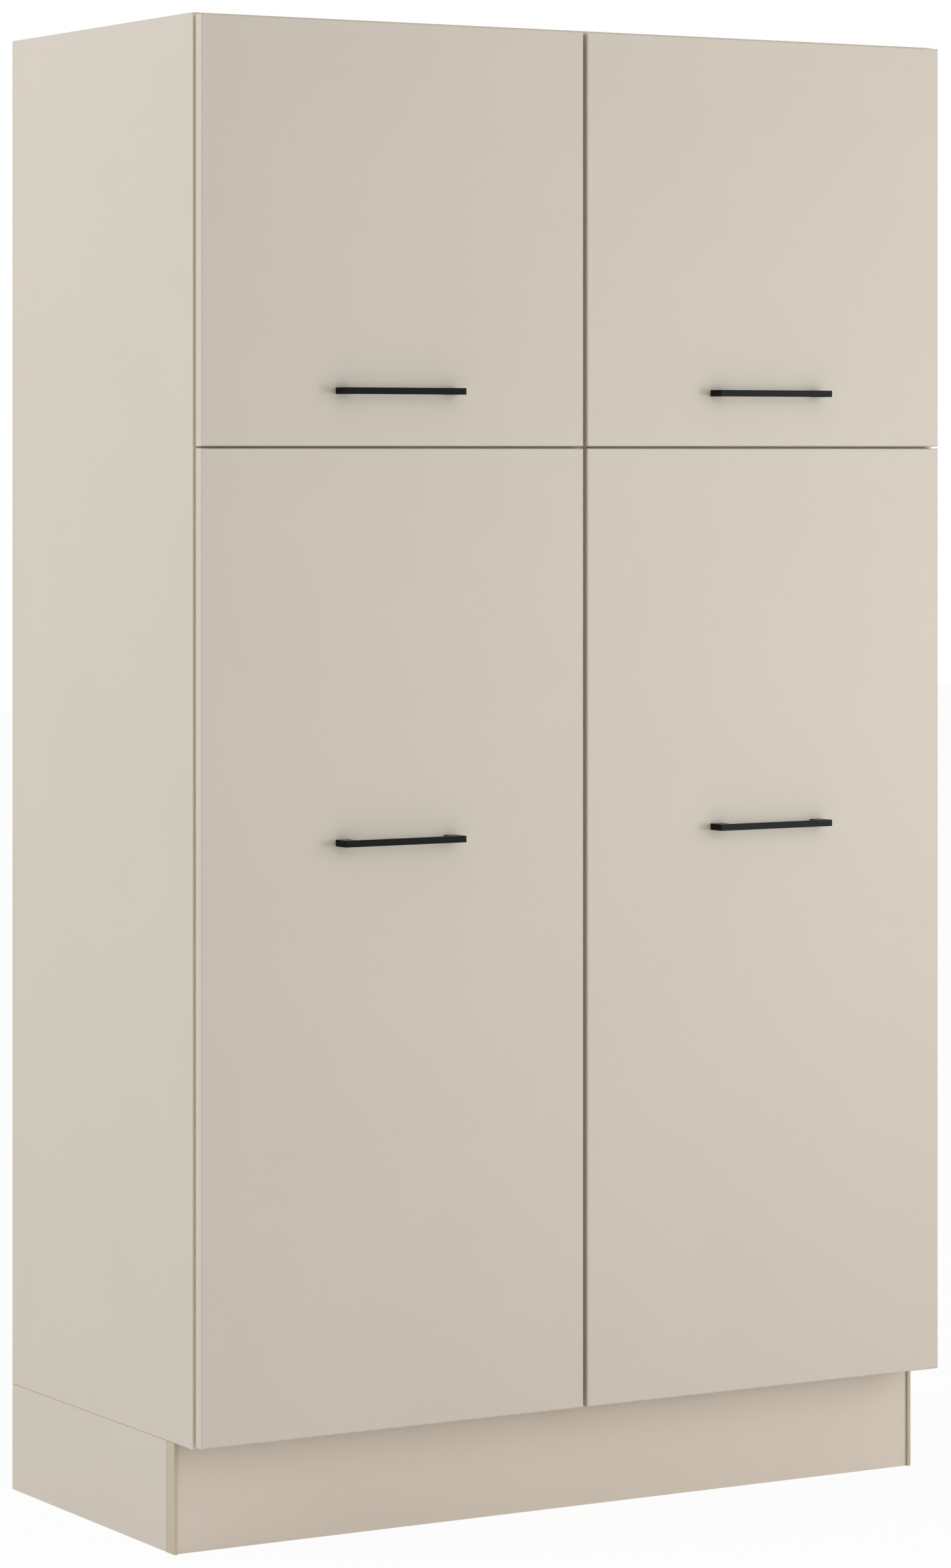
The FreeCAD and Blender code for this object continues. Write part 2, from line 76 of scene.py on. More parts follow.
def length(name, description, millimetres):
    """A length that a user can change, with its default in millimetres."""
    return bpy.props.FloatProperty(
        name=name, description=description, unit="LENGTH", min=0, default=millimetres * MM)


class CabinetSizes(bpy.types.PropertyGroup):
    """Sizes of the pieces that are modelled here."""

    board_edge: length("Board edge", "Rounding of the carcass boards' front edges", 0.8)
    door_edge: length("Door edge", "Rounding of a door's front and rear edges", 2)
    handle_foot: length("Handle foot", "Width of a handle's foot along its bar", 20)
    handle_bar: length("Handle bar", "Depth of a handle's bar", 6)
    handle_bend: length("Handle bend", "Radius inside a handle's corners", 2.5)
    handle_edge: length("Handle edge", "Rounding of a handle's edges", 0.6)
    handle_spacing: length("Handle screws", "Distance between a handle's two screws", 160)
    hinge_from_end: length("Hinge from end", "Outer hinges from a door's ends", 100)
    hole_radius: length("Shelf hole radius", "Radius of the holes for shelf supports", 2.5)
    hole_depth: length("Shelf hole depth", "Depth of the holes for shelf supports", 11)
    hole_pitch: length("Shelf hole pitch", "Step from one shelf hole to the next", 32)
    fitting_edge: length("Fitting edge", "Rounding on pressed steel and moulded fittings", 0.35)
    cup_edge: length("Cup edge", "Rounding on the hinge cups, whose walls are thin", 0.12)
    screw_head: length("Screw head", "Radius of a pan-head screw", 3.6)
    plinth_edge: length("Plinth edge", "Rounding of the plinth caps, twice that of its boards", 0.7)
    plinth_seam: length("Plinth seam", "Open joint between the plinth and the carcass", 0.5)
    leg_foot: length("Leg foot", "Radius of a levelling leg's foot", 28)
    leg_post: length("Leg post", "Radius of a levelling leg's post", 15)
    cam_cover: length("Cam cover", "Radius of a cover over a cam fitting", 8.5)


class CabinetColours(bpy.types.PropertyGroup):
    """Colours of the finishes."""

    laminate: tint("Laminate", "Beige of the boards and doors", "#d2c9bb")
    laminate_shade: tint("Laminate shade", "Darker tone in the beige", "#cec5b7")
    # The plinth's two tones are paler and warmer than the boards' beige: some of the warmth is the plinth's own,
    # and the rest of it and the paleness are painted bounce light from the floor and the doors
    plinth_painted_bounce_laminate: tint("Plinth laminate", "Warmer beige of the plinth's front", "#dbcfc1")
    plinth_painted_bounce_tone: tint("Plinth shade", "Darker tone in the plinth's front", "#d7cbbd")
    # The band's two tones are its own olive beige made much paler: painted light that stands in for the light the
    # shaded gaps round the doors lack
    band_colour_painted_light: tint("Edge band", "Olive beige of the carcass's front edges", "#e3d7c0")
    band_flow_tone_painted_light: tint("Edge band shade", "Flow marks in the edge band", "#ded2bb")
    chipboard: tint("Chipboard", "Pale chips in a raw board edge", "#c9ad83")
    chipboard_dark: tint("Chipboard dark", "Dark chips in a raw board edge", "#8c6c46")
    hardboard: tint("Hardboard", "Rough rear of the thin back", "#866546")
    hardboard_light: tint("Hardboard light", "Paler fibres in the thin back", "#a98762")
    powder_coat: tint("Powder coat", "Dull black of the handles", "#0c0c0b")
    powder_coat_light: tint("Powder coat light", "Lighter pebbles in the black", "#121211")
    nickel: tint("Nickel", "Plating of the hinges", "#dfdbd3")
    nickel_shade: tint("Nickel shade", "Duller marks in the plating", "#c8c3ba")
    zinc: tint("Zinc", "Plating of brackets, supports and bolts", "#c4c8cb")
    plinth_cap: tint("Plinth cap", "Plastic caps at the ends of the plinth", "#c6ba9e")
    plinth_cap_shade: tint("Plinth cap shade", "Flow marks in the caps", "#c0b498")
    leg_plastic: tint("Leg plastic", "Black plastic of the legs and clips", "#1d1d1e")
    leg_plastic_light: tint("Leg plastic light", "Flow marks in the legs", "#242425")
    soft_pad: tint("Soft pad", "Milky door buffers", "#d9d7d0")


def sizes():
    """The sizes that are set in this scene."""
    return bpy.context.scene.cabinet_sizes


def colour(name):
    """One of the finishes' colours, ready for a node's socket."""
    return (*getattr(bpy.context.scene.cabinet_colours, name), 1.0)


# Materials

# A Mix node that is set to colours keeps these sockets for its factor, its two colours and its result
MIX_FACTOR, MIX_A, MIX_B = 0, 6, 7
MIX_COLOUR = 2
# How far a moulded grain takes the roughness either way
GLOSS_SPREAD = 0.06


def fill_inputs(tree, node, inputs):
    """Give a node's inputs their values or links."""
    for name, value in inputs.items():
        if isinstance(value, bpy.types.NodeSocket):
            tree.links.new(value, node.inputs[name])
        else:
            node.inputs[name].default_value = value


def add_node(tree, kind, inputs=None, **settings):
    """Add a node, set its options, and fill its inputs with values or links."""
    made = tree.nodes.new("ShaderNode" + kind)
    for name, value in settings.items():
        setattr(made, name, value)
    fill_inputs(tree, made, inputs or {})
    return made


def per_metre(millimetres):
    """A texture's scale for a pattern that repeats after so many millimetres."""
    return 1 / (millimetres * MM)


def two_tone(tree, factor, tones, grain, gloss):
    """The shader inputs of a surface in two tones, whose grain breaks up its gloss."""
    tone = add_node(tree, "Mix", {
        MIX_FACTOR: factor, MIX_A: colour(tones[0]), MIX_B: colour(tones[1])}, data_type="RGBA")
    dulled = add_node(tree, "MapRange", {"Value": grain, "To Min": gloss[0], "To Max": gloss[1]})
    return {"Base Color": tone.outputs[MIX_COLOUR], "Roughness": dulled.outputs["Result"]}


def pressed_paper(tree, spot, *tones):
    """The shader inputs of a melamine face in two close tones."""
    # Clouds of about a hand's width in the printed paper
    cloud = add_node(tree, "TexNoise", {"Vector": spot, "Scale": per_metre(160), "Detail": 3.0})
    # The press plate's grain is about 0.3 mm, drawn at 4 mm so that it shows
    grain = add_node(tree, "TexNoise", {"Vector": spot, "Scale": per_metre(4), "Detail": 2.0}).outputs["Fac"]
    dimple = add_node(tree, "Bump", {"Height": grain, "Strength": 0.05, "Distance": 0.1 * MM})
    return {**two_tone(tree, cloud.outputs["Fac"], tones, grain, (0.42, 0.52)),
            "Normal": dimple.outputs["Normal"], "IOR": 1.5}


def melamine_laminate(tree, spot):
    """Melamine-faced board, pressed on a fine plate: printed paper, even, satin and a little mottled."""
    return pressed_paper(tree, spot, "laminate", "laminate_shade")


def plinth_painted_bounce_laminate(tree, spot):
    """Melamine-faced board for the plinth's front, paler and warmer than the boards with painted bounce light:
    satin and a little mottled.
    """
    return pressed_paper(tree, spot, "plinth_painted_bounce_laminate", "plinth_painted_bounce_tone")


def raw_chipboard(tree, spot):
    """Chipboard core, sawn and left bare: pale and dark chips pressed flat, dull and open."""
    # Chips are 1 to 4 mm across in the core
    chips = add_node(tree, "TexVoronoi", {"Vector": spot, "Scale": per_metre(3), "Randomness": 1.0})
    dust = add_node(tree, "TexNoise", {"Vector": spot, "Scale": per_metre(1.5), "Detail": 4.0})
    shade = add_node(tree, "SeparateColor", {"Color": chips.outputs["Color"]})
    tone = add_node(tree, "Mix", {
        MIX_FACTOR: shade.outputs["Red"], MIX_A: colour("chipboard"), MIX_B: colour("chipboard_dark"),
    }, data_type="RGBA")
    worn = add_node(tree, "Mix", {
        MIX_FACTOR: dust.outputs["Fac"], MIX_A: tone.outputs[MIX_COLOUR], MIX_B: colour("chipboard"),
    }, data_type="RGBA")
    pits = add_node(tree, "Bump", {
        "Height": chips.outputs["Distance"], "Strength": 0.5, "Distance": 0.4 * MM})
    return {"Base Color": worn.outputs[MIX_COLOUR], "Roughness": 0.9, "Normal": pits.outputs["Normal"]}


def hardboard_back(tree, spot):
    """Thin fibreboard: lacquered print inside, brown felted fibre with a wire-mesh mark to the rear."""
    side = add_node(tree, "TexCoord").outputs["Normal"]
    facing = add_node(tree, "SeparateXYZ", {"Vector": side})
    rear = add_node(tree, "Math", {0: facing.outputs["Y"], 1: 0.5}, operation="GREATER_THAN")
    # Fibres are a few millimetres long, and the pulp settles in clouds a hand wide
    fibre = add_node(tree, "TexNoise", {
        "Vector": spot, "Scale": per_metre(6), "Detail": 6.0, "Roughness": 0.7})
    cloud = add_node(tree, "TexNoise", {"Vector": spot, "Scale": per_metre(140), "Detail": 3.0})
    felt = add_node(tree, "Math", {0: fibre.outputs["Fac"], 1: cloud.outputs["Fac"]}, operation="ADD")
    felted = add_node(tree, "MapRange", {
        "Value": felt.outputs["Value"], "From Min": 0.7, "From Max": 1.3})
    # The press screen's mesh is 1.5 mm, drawn at 6 mm so that it shows
    mesh = add_node(tree, "TexVoronoi", {"Vector": spot, "Scale": per_metre(6), "Randomness": 0.15})
    brown = add_node(tree, "Mix", {
        MIX_FACTOR: felted.outputs["Result"], MIX_A: colour("hardboard"), MIX_B: colour("hardboard_light"),
    }, data_type="RGBA")
    printed = add_node(tree, "Mix", {
        MIX_FACTOR: fibre.outputs["Fac"], MIX_A: colour("laminate"), MIX_B: colour("laminate_shade"),
    }, data_type="RGBA")
    tone = add_node(tree, "Mix", {
        MIX_FACTOR: rear.outputs["Value"], MIX_A: printed.outputs[MIX_COLOUR],
        MIX_B: brown.outputs[MIX_COLOUR],
    }, data_type="RGBA")
    dull = add_node(tree, "MapRange", {"Value": rear.outputs["Value"], "To Min": 0.45, "To Max": 0.85})
    screen = add_node(tree, "Math", {
        0: mesh.outputs["Distance"], 1: rear.outputs["Value"]}, operation="MULTIPLY")
    relief = add_node(tree, "Bump", {
        "Height": screen.outputs["Value"], "Strength": 0.35, "Distance": 0.3 * MM})
    return {"Base Color": tone.outputs[MIX_COLOUR], "Roughness": dull.outputs["Result"],
            "Normal": relief.outputs["Normal"]}


def black_powder_coat(tree, spot):
    """Polyester powder coat, baked on steel: dull black, with a pebbled skin that breaks up highlights."""
    # The pebble is about 0.3 mm, drawn at 1.2 mm so that it shows
    pebble = add_node(tree, "TexNoise", {
        "Vector": spot, "Scale": per_metre(1.2), "Detail": 2.0}).outputs["Fac"]
    skin = add_node(tree, "Bump", {"Height": pebble, "Strength": 0.15, "Distance": 0.1 * MM})
    # The specular level is matched to the photograph, far below a gloss coat's
    return {**two_tone(tree, pebble, ("powder_coat", "powder_coat_light"), pebble, (0.26, 0.35)),
            "Normal": skin.outputs["Normal"], "Specular IOR Level": 0.065}


def nickel_plated_steel(tree, spot):
    """Nickel on stamped steel: warm grey metal with soft drawn lines and small handling marks."""
    # Drawing lines are 0.2 mm apart and run along the arm, drawn at 1 mm so that they show
    stretch = add_node(tree, "Mapping", {"Vector": spot, "Scale": (1.0, 0.08, 1.0)})
    lines = add_node(tree, "TexNoise", {
        "Vector": stretch.outputs["Vector"], "Scale": per_metre(1), "Detail": 3.0})
    marks = add_node(tree, "TexNoise", {"Vector": spot, "Scale": per_metre(9), "Detail": 4.0})
    tones = ("nickel", "nickel_shade")
    return {**two_tone(tree, marks.outputs["Fac"], tones, lines.outputs["Fac"], (0.3, 0.46)), "Metallic": 1.0}


def zinc_plated_steel(tree, spot):
    """Bright zinc on pressed steel: cool grey metal with a cloudy bloom."""
    # The bloom comes in patches of about 5 mm
    bloom = add_node(tree, "TexVoronoi", {
        "Vector": spot, "Scale": per_metre(5), "Smoothness": 0.8}, feature="SMOOTH_F1").outputs["Distance"]
    return {**two_tone(tree, bloom, ("zinc", "nickel_shade"), bloom, (0.3, 0.5)), "Metallic": 1.0}


def moulded_grain(tree, spot, tone_name, flow_name, roughness):
    """The shader inputs of a moulded plastic: flow marks in its colour and an eroded grain."""
    # Flow marks are a few centimetres long; the grain is 0.2 mm, drawn at 1 mm so that it shows
    flow = add_node(tree, "TexNoise", {
        "Vector": spot, "Scale": per_metre(35), "Detail": 2.0, "Distortion": 0.6})
    grain = add_node(tree, "TexNoise", {"Vector": spot, "Scale": per_metre(1), "Detail": 1.0}).outputs["Fac"]
    skin = add_node(tree, "Bump", {"Height": grain, "Strength": 0.1, "Distance": 0.1 * MM})
    gloss = (roughness - GLOSS_SPREAD, roughness + GLOSS_SPREAD)
    return {**two_tone(tree, flow.outputs["Fac"], (tone_name, flow_name), grain, gloss),
            "Normal": skin.outputs["Normal"]}


def olive_abs(tree, spot):
    """ABS, moulded and matt: a warmer, greener beige than the laminate, with a fine eroded grain."""
    return moulded_grain(tree, spot, "plinth_cap", "plinth_cap_shade", 0.5)


def abs_band_with_painted_light(tree, spot):
    """ABS edge band, extruded and glued on: olive beige made paler with painted light for the shaded gaps it sits
    in, satin, scraped flush with the faces.
    """
    return moulded_grain(tree, spot, "band_colour_painted_light", "band_flow_tone_painted_light", 0.45)


def black_polypropylene(tree, spot):
    """Polypropylene, moulded: waxy black with an eroded grain and faint flow marks."""
    return moulded_grain(tree, spot, "leg_plastic", "leg_plastic_light", 0.55)


def beige_polyethylene(tree, spot):
    """Polyethylene, moulded in the boards' colour: soft, slightly waxy covers."""
    return moulded_grain(tree, spot, "laminate_shade", "plinth_cap", 0.45)


def soft_polyurethane(tree, spot):
    """Polyurethane drops, cast clear: milky and slightly see-through, with a soft gloss."""
    return {**moulded_grain(tree, spot, "soft_pad", "laminate", 0.25), "Subsurface Weight": 0.3,
            "Subsurface Scale": 2 * MM}


FINISHES = {
    "laminate": ("melamine_laminate_beige", melamine_laminate),
    # The plinth's finish carries painted bounce light in its paler, warmer beige
    "plinth": ("melamine_plinth_painted_bounce", plinth_painted_bounce_laminate),
    # The band's finish carries painted light in its paler beige
    "band": ("abs_olive_band_with_painted_light", abs_band_with_painted_light),
    "chipboard": ("raw_chipboard_edge", raw_chipboard),
    "back": ("hardboard_printed_one_side", hardboard_back),
    "black": ("powder_coated_steel_black", black_powder_coat),
    "nickel": ("nickel_plated_steel", nickel_plated_steel),
    "zinc": ("zinc_plated_steel", zinc_plated_steel),
    "cap": ("abs_olive_beige", olive_abs),
    "leg": ("polypropylene_black", black_polypropylene),
    "cover": ("polyethylene_beige", beige_polyethylene),
    "pad": ("polyurethane_clear", soft_polyurethane),
}


def finish(key):
    """A finish's material, made when it is first asked for."""
    name, build = FINISHES[key]
    made = bpy.data.materials.get(name)
    if made is None:
        made = bpy.data.materials.new(name)
        made.use_nodes = True
        tree = made.node_tree
        spot = add_node(tree, "TexCoord").outputs["Object"]
        fill_inputs(tree, tree.nodes["Principled BSDF"], build(tree, spot))
    return made


# Pieces

# Finishes of a board's faces, by index: laminate, bare where it is sawn, and the band along its front, whose beige
# is painted paler as painted light
BOARD_KEYS = ("laminate", "chipboard", "band")
FACED, BARE, BANDED = range(3)
# A normal's least share along an axis, for a face that looks that way and for a rounded front
FACING = 0.9
ROUND_FRONT = 0.1

# Edges that turn by more than these degrees stay hard; the least of them keep broad faces flat
SHARP_BOARD = 10
SHARP_HANDLE = 14
SHARP_PRESSED = 20
SHARP_TURNED = 35
SHARP_COVER = 50
SHARP_DROP = 60

# Segments across a rounded edge
EDGE_SEGMENTS = 4
FINE_EDGE_SEGMENTS = 3
PRESSED_SEGMENTS = 2


def dress(node, key):
    """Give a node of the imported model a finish."""
    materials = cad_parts[node].data.materials
    materials.clear()
    materials.append(finish(key))


def add_piece(name, bm, body, keys, sharp, node=None):
    """Turn a bmesh into a piece that moves with a body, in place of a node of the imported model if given."""
    bmesh.ops.recalc_face_normals(bm, faces=bm.faces)
    mesh = bpy.data.meshes.new(name)
    bm.to_mesh(mesh)
    bm.free()
    for key in keys:
        mesh.materials.append(finish(key))
    mesh.shade_smooth()
    mesh.set_sharp_from_angle(angle=math.radians(sharp))
    piece = bpy.data.objects.new(name, mesh)
    bpy.context.scene.collection.objects.link(piece)
    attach(piece, body)
    if node:
        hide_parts(node)
    return piece


def round_edges(bm, edges, width, segments, clamp=False):
    """Round some edges of a bmesh."""
    bmesh.ops.bevel(bm, geom=edges, offset=width, offset_type="OFFSET", affect="EDGES", segments=segments,
                    profile=0.5, material=-1, clamp_overlap=clamp)


def runs_along(edge, axis):
    """Whether an edge has some length along an axis, by its number."""
    return abs(edge.verts[0].co[axis] - edge.verts[1].co[axis]) > MM


def verts_of(geom):
    """The vertices in what a bmesh operator returns."""
    return [part for part in geom if isinstance(part, bmesh.types.BMVert)]


def add_block(bm, low, high):
    """A box between two corners; returns its vertices."""
    verts = bmesh.ops.create_cube(bm, size=1.0)["verts"]
    bmesh.ops.scale(bm, vec=Vector(high) - Vector(low), verts=verts)
    bmesh.ops.translate(bm, vec=(Vector(high) + Vector(low)) / 2, verts=verts)
    return verts


def add_prism(bm, outline, drawn):
    """A flat outline drawn out along a vector; returns the vertices."""
    base = bm.faces.new([bm.verts.new(corner) for corner in outline])
    moved = verts_of(bmesh.ops.extrude_face_region(bm, geom=[base])["geom"])
    bmesh.ops.translate(bm, vec=drawn, verts=moved)
    return list(base.verts) + moved


def add_board(bm, low, high):
    """A board between two corners, with its front edges rounded."""
    verts = add_block(bm, low, high)
    front = [edge for edge in bm.edges
             if all(vert in verts and vert.co.y < low.y + MM for vert in edge.verts)]
    round_edges(bm, front, sizes().board_edge, EDGE_SEGMENTS)


def mark_board(bm, is_bare):
    """Sort a board's faces by their finishes in BOARD_KEYS."""
    bm.normal_update()
    for face in bm.faces:
        front = BANDED if face.normal.y < -ROUND_FRONT else FACED
        face.material_index = BARE if is_bare(face.normal) else front


# Copies of fittings: how near vertices merge, how flat faces join, and how far an edge turns to be rounded
MERGE_DISTANCE = 0.01 * MM
FLAT_ANGLE = math.radians(1)
HARD_ANGLE = math.radians(35)


def eased_copy(node, width):
    """A merged copy of a node's mesh with its hard edges rounded, as pressing or moulding leaves them."""
    bm = bmesh.new()
    bm.from_mesh(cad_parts[node].data)
    bmesh.ops.remove_doubles(bm, verts=bm.verts, dist=MERGE_DISTANCE)
    bmesh.ops.dissolve_limit(bm, angle_limit=FLAT_ANGLE, verts=bm.verts, edges=bm.edges)
    bm.normal_update()
    hard = [edge for edge in bm.edges if edge.calc_face_angle() > HARD_ANGLE]
    round_edges(bm, hard, width, PRESSED_SEGMENTS, clamp=True)
    return bm


def stand_rounded(node, bm, body, key):
    """Put a rounded copy in a node's place."""
    add_piece(node + "_rounded", bm, body, (key,), SHARP_PRESSED, node)


def stand_on(bm, verts, place, axis):
    """Move a shape made on the XY plane to a place, with its top towards an axis."""
    turn = Vector(axis).to_track_quat("Z", "Y").to_matrix().to_4x4()
    bmesh.ops.transform(bm, matrix=Matrix.Translation(place) @ turn, verts=verts)


# Round shapes: steps of a rise and a radius, as shares of the whole
TURNED_SEGMENTS = 28
COVER_STEPS = ((0.5, 1.0), (0.35, 0.97), (0.15, 0.9))
DOME_DEGREES = (0, 15, 30, 45, 60, 72, 84)
SCREW_SEGMENTS = 20
SCREW_STEPS = ((0.45, 1.0), (0.35, 0.93), (0.2, 0.6882))
RECESS_REACH = 0.5
RECESS_HALF_WIDTH = 0.11
RECESS_DEPTH = 0.6
# A lip's steps: a rise, and how far in from its outer wall
LIP_SEGMENTS = 48
LIP_STEPS = ((0.5, 0.0), (0.35, 0.15), (0.15, 0.4), (0.0, 0.75), (-0.3, 1.0), (-0.7, 1.0))


def add_rim(bm, radius, segments, capped=True):
    """A circle on the XY plane, with a face if it is capped; returns its edges."""
    rim = bmesh.ops.create_circle(bm, cap_ends=capped, segments=segments, radius=radius)["verts"]
    return list(dict.fromkeys(edge for vert in rim for edge in vert.link_edges))


def draw_rim(bm, edges, radius, steps):
    """Draw a rim upwards through steps of a rise and a new radius; returns the last rim's edges."""
    for rise, next_radius in steps:
        drawn = bmesh.ops.extrude_edge_only(bm, edges=edges)["geom"]
        verts = verts_of(drawn)
        share = next_radius / radius
        bmesh.ops.translate(bm, vec=(0, 0, rise), verts=verts)
        bmesh.ops.scale(bm, vec=(share, share, 1), verts=verts)
        edges = [part for part in drawn if isinstance(part, bmesh.types.BMEdge)
                 and all(vert in verts for vert in part.verts)]
        radius = next_radius
    return edges


def add_screw(bm, place, axis, radius, height):
    """A pan-head screw with a cross recess: its seat is at the place and its head points along the axis."""
    before = set(bm.verts)
    edges = draw_rim(bm, add_rim(bm, radius, SCREW_SEGMENTS), radius,
                     [(rise * height, share * radius) for rise, share in SCREW_STEPS])
    reach, half = RECESS_REACH * radius, RECESS_HALF_WIDTH * radius
    arm = ((half, half, height), (reach, half, height), (reach, -half, height))
    recess = bm.faces.new([bm.verts.new(Matrix.Rotation(-turn * math.pi / 2, 3, "Z") @ Vector(corner))
                           for turn in range(4) for corner in arm])
    bmesh.ops.bridge_loops(bm, edges=edges + list(recess.edges))
    sunk = bmesh.ops.extrude_face_region(bm, geom=[recess])["geom"]
    bmesh.ops.translate(bm, vec=(0, 0, -RECESS_DEPTH * height), verts=verts_of(sunk))
    bmesh.ops.delete(bm, geom=[recess], context="FACES_ONLY")
    stand_on(bm, list(set(bm.verts) - before), place, axis)


def add_turned(bm, place, axis, radius, steps):
    """A round shape: a disc at the place that grows along the axis by steps of a rise and a radius."""
    before = set(bm.verts)
    edges = draw_rim(bm, add_rim(bm, radius, TURNED_SEGMENTS), radius, steps)
    bmesh.ops.edgeloop_fill(bm, edges=edges)
    stand_on(bm, list(set(bm.verts) - before), place, axis)


def add_dome(bm, place, axis, radius, height):
    """A shallow round drop with a flat base."""
    angles = [math.radians(degrees) for degrees in DOME_DEGREES]
    add_turned(bm, place, axis, radius, [(height * (math.sin(end) - math.sin(start)), radius * math.cos(end))
                                         for start, end in zip(angles, angles[1:])])


def add_cover(bm, place, axis, radius, height):
    """A flat round cover with a rounded rim."""
    add_turned(bm, place, axis, radius, [(rise * height, share * radius) for rise, share in COVER_STEPS])


def add_lip(bm, place, axis, outer, inner, height):
    """A low ring with an eased top: its foot is at the place."""
    before = set(bm.verts)
    foot = add_rim(bm, outer, LIP_SEGMENTS, capped=False)
    inside = draw_rim(bm, foot, outer, [(rise * height, outer - share * (outer - inner))
                                        for rise, share in LIP_STEPS])
    bmesh.ops.bridge_loops(bm, edges=foot + inside)
    stand_on(bm, list(set(bm.verts) - before), place, axis)


def add_bore(bm, place, axis, radius, depth, segments):
    """A cylinder to cut with, which stands as far out of the face at its place as it goes in."""
    verts = bmesh.ops.create_cone(bm, cap_ends=True, segments=segments, radius1=radius, radius2=radius,
                                  depth=2 * depth)["verts"]
    stand_on(bm, verts, place, axis)


def cut_away(piece, cutter_bm):
    """Cut a bmesh's solids out of a board, with bare faces where they were."""
    for face in cutter_bm.faces:
        face.material_index = BARE
    mesh = bpy.data.meshes.new("cutter")
    cutter_bm.to_mesh(mesh)
    cutter_bm.free()
    for material in piece.data.materials:
        mesh.materials.append(material)
    cutter = bpy.data.objects.new("cutter", mesh)
    bpy.context.scene.collection.objects.link(cutter)
    cut = piece.modifiers.new("Cut", "BOOLEAN")
    cut.operation = "DIFFERENCE"
    cut.solver = "EXACT"
    cut.object = cutter
    bpy.context.view_layer.update()
    evaluated = piece.evaluated_get(bpy.context.evaluated_depsgraph_get())
    whole = piece.data
    done = bpy.data.meshes.new_from_object(evaluated)
    piece.modifiers.clear()
    piece.data = done
    bpy.data.objects.remove(cutter)
    bpy.data.meshes.remove(mesh)
    bpy.data.meshes.remove(whole)
    done.name = piece.name


def inward(name):
    """Which way along X points into the other column, from the column that a name starts with."""
    return 1 if name.startswith("left") else -1


def end_towards(node, way):
    """Where a node's box ends along X, towards the left or the right."""
    low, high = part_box(node)
    return high.x if way > 0 else low.x


def hinge_levels(door):
    """Heights of a door's hinges."""
    low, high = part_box(door + "_door")
    ends = [low.z + sizes().hinge_from_end, high.z - sizes().hinge_from_end]
    return ends if door.endswith("upper") else [ends[0], (low.z + high.z) / 2, ends[1]]


def lower_shelf_boxes(column):
    """Corners of the two loose shelves that share a node, each as thick as the upper one."""
    upper_low, upper_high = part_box(column + "_upper_shelf")
    low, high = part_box(column + "_lower_shelves")
    step = Vector((0, 0, (high.z - low.z) - (upper_high.z - upper_low.z)))
    return [(low, high - step), (low + step, high)]


class CABINET_OT_boards(bpy.types.Operator):
    """Model the cross boards and shelves with banded front edges, and finish the backs"""

    bl_idname = "cabinet.boards"
    bl_label = "Boards"

    def execute(self, context):
        for column in COLUMNS:
            for board in ("top_board", "bottom_board", "fixed_shelf"):
                node = f"{column}_{board}"
                self.boards(node, [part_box(node)], lambda normal: normal.y > FACING or abs(normal.x) > FACING)
            upper = column + "_upper_shelf"
            self.boards(upper, [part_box(upper)], lambda normal: False)
            self.boards(column + "_lower_shelves", lower_shelf_boxes(column), lambda normal: False)
            dress(column + "_back_panel", "back")
        return {"FINISHED"}

    def boards(self, node, boxes, is_bare):
        """The boards of one node."""
        bm = bmesh.new()
        for low, high in boxes:
            add_board(bm, low, high)
        mark_board(bm, is_bare)
        add_piece(node + "_edged", bm, CARCASS, BOARD_KEYS, SHARP_BOARD, node)


GROOVE_PLAY = 0.2 * MM
SUPPORT_HALF_WIDTH = 6 * MM
HOLE_STEPS = (-2, -1, 1, 2)
HOLE_SEGMENTS = 16


class CABINET_OT_sides(bpy.types.Operator):
    """Model the side panels, with shelf holes, back grooves and bare rear edges"""

    bl_idname = "cabinet.sides"
    bl_label = "Side panels"

    def execute(self, context):
        for column in COLUMNS:
            self.side_panel(column, "outer", inward(column))
            self.side_panel(column, "inner", -inward(column))
        return {"FINISHED"}

    def side_panel(self, column, side, face):
        """A side, whose inner face looks to the left or the right."""
        node = f"{column}_{side}_side"
        low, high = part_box(node)
        inside = end_towards(node, face)
        bm = bmesh.new()
        add_board(bm, low, high)
        mark_board(bm, lambda normal: normal.y > FACING or abs(normal.z) > FACING)
        piece = add_piece(node + "_panel", bm, CARCASS, BOARD_KEYS, SHARP_BOARD, node)
        cutter = bmesh.new()
        back = column + "_back_panel"
        back_low, back_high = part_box(back)
        near, far = sorted((end_towards(back, -face) - face * GROOVE_PLAY, inside + face * MM))
        add_block(cutter, (near, back_low.y - GROOVE_PLAY, low.z - MM),
                  (far, back_high.y + GROOVE_PLAY, high.z + MM))
        for y, z in self.hole_places(column):
            add_bore(cutter, Vector((inside, y, z)), (face, 0, 0), sizes().hole_radius, sizes().hole_depth,
                     HOLE_SEGMENTS)
        cut_away(piece, cutter)

    def hole_places(self, column):
        """Depth and height of the free shelf holes: two above and two below each support."""
        support_low, support_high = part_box(column + "_shelf_supports")
        shelves = [*lower_shelf_boxes(column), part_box(column + "_upper_shelf")]
        levels = [low.z for low, _ in shelves]
        peg = (levels[0] - support_low.z) / 2
        rows = (support_low.y + SUPPORT_HALF_WIDTH, support_high.y - SUPPORT_HALF_WIDTH)
        return [(y, level - peg + step * sizes().hole_pitch)
                for level in levels for y in rows for step in HOLE_STEPS]


BORE_PLAY = 0.1 * MM
BORE_SEGMENTS = 64
BUFFER_FROM_END = 40 * MM
BUFFER_RADIUS = 4 * MM


